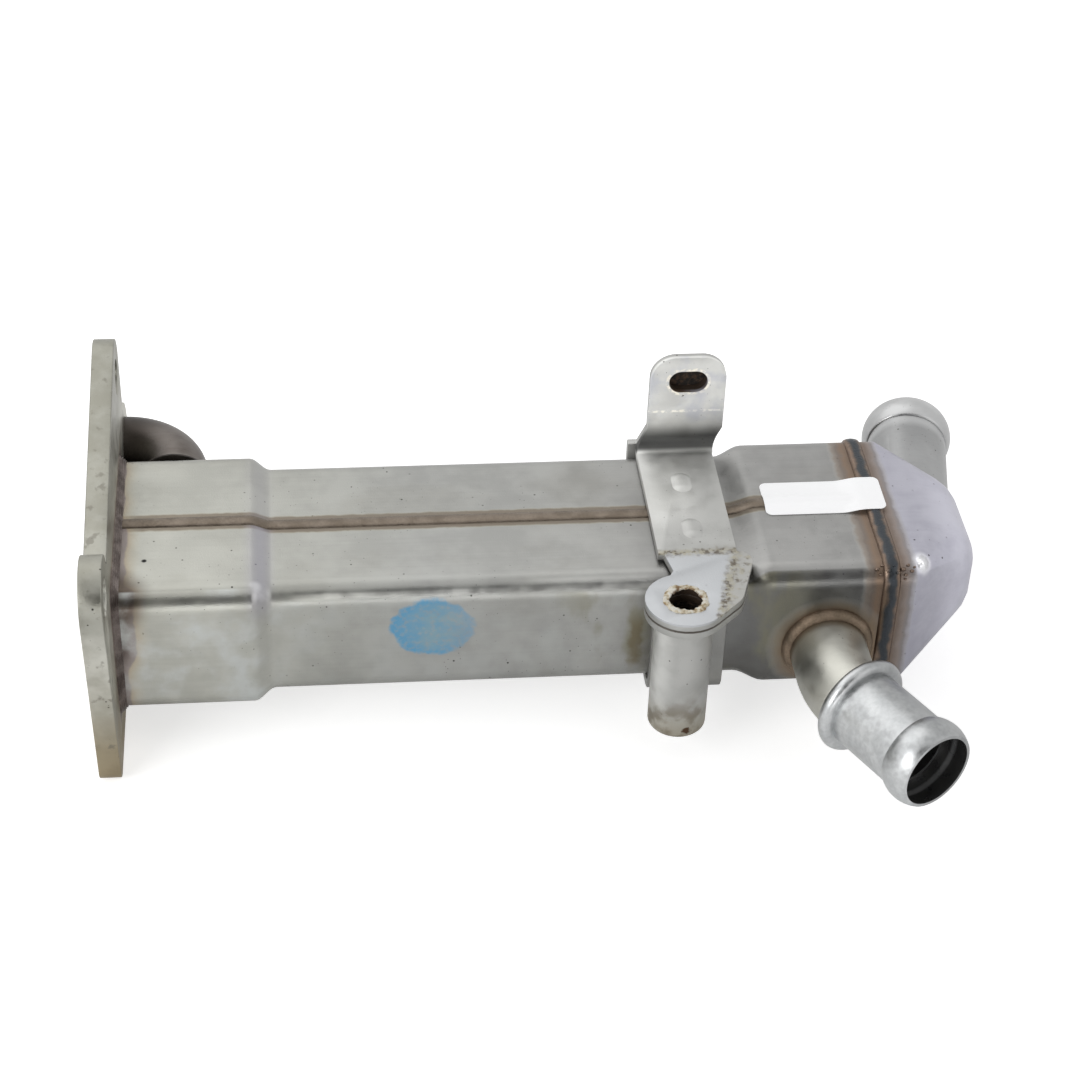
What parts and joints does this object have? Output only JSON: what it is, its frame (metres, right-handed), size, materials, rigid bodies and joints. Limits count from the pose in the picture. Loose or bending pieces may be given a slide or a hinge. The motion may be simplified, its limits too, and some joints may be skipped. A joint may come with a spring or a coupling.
{
  "type": "exhaust gas recirculation cooler",
  "caption": "Welded steel exhaust gas cooler: straight tube bundle in a rectangular casing with bolt-on flange, domed end cap, coolant and gas pipes and a clamp bracket.",
  "frame": {"origin": "middle of the gas window on the flange's mating face", "axes": "+X along the casing towards the end cap, +Z out of the casing's broad top face, +Y towards the gas outlet pipe"},
  "size_m": [0.2106, 0.1305, 0.0695],
  "materials": {
    "flange_steel": "satin",
    "casing_steel": "satin",
    "cap_steel": "satin",
    "pipe_steel": "satin",
    "zinc_plate": "satin",
    "bracket_steel": "satin",
    "weld_metal": "satin",
    "bundle_steel": "satin"
  },
  "bodies": {
    "root": {"mounting_flange": "flange_steel", "front_shell": "casing_steel", "rear_shell": "casing_steel", "end_cap": "cap_steel", "inlet_elbow": "pipe_steel", "outlet_tube": "pipe_steel", "gas_outlet_pipe": "pipe_steel", "hose_nipple": "zinc_plate", "upper_strap": "bracket_steel", "upper_tab": "bracket_steel", "lower_strap": "bracket_steel", "lower_tab": "bracket_steel", "spacer_sleeve": "bracket_steel", "top_seam_weld": "weld_metal", "bottom_seam_weld": "weld_metal", "end_weld": "weld_metal", "flange_weld": "weld_metal", "inlet_weld": "weld_metal", "outlet_weld": "weld_metal", "flange_header": "bundle_steel", "cap_header": "bundle_steel", "gas_tube_1": "bundle_steel", "gas_tube_2": "bundle_steel", "gas_tube_3": "bundle_steel", "gas_tube_4": "bundle_steel", "gas_tube_5": "bundle_steel", "gas_tube_6": "bundle_steel", "gas_tube_7": "bundle_steel", "gas_tube_8": "bundle_steel", "gas_tube_9": "bundle_steel", "gas_tube_10": "bundle_steel", "gas_tube_11": "bundle_steel", "gas_tube_12": "bundle_steel", "gas_tube_13": "bundle_steel", "gas_tube_14": "bundle_steel", "gas_tube_15": "bundle_steel", "baffle_1": "bundle_steel", "baffle_2": "bundle_steel", "baffle_3": "bundle_steel"}
  },
  "joints": []
}
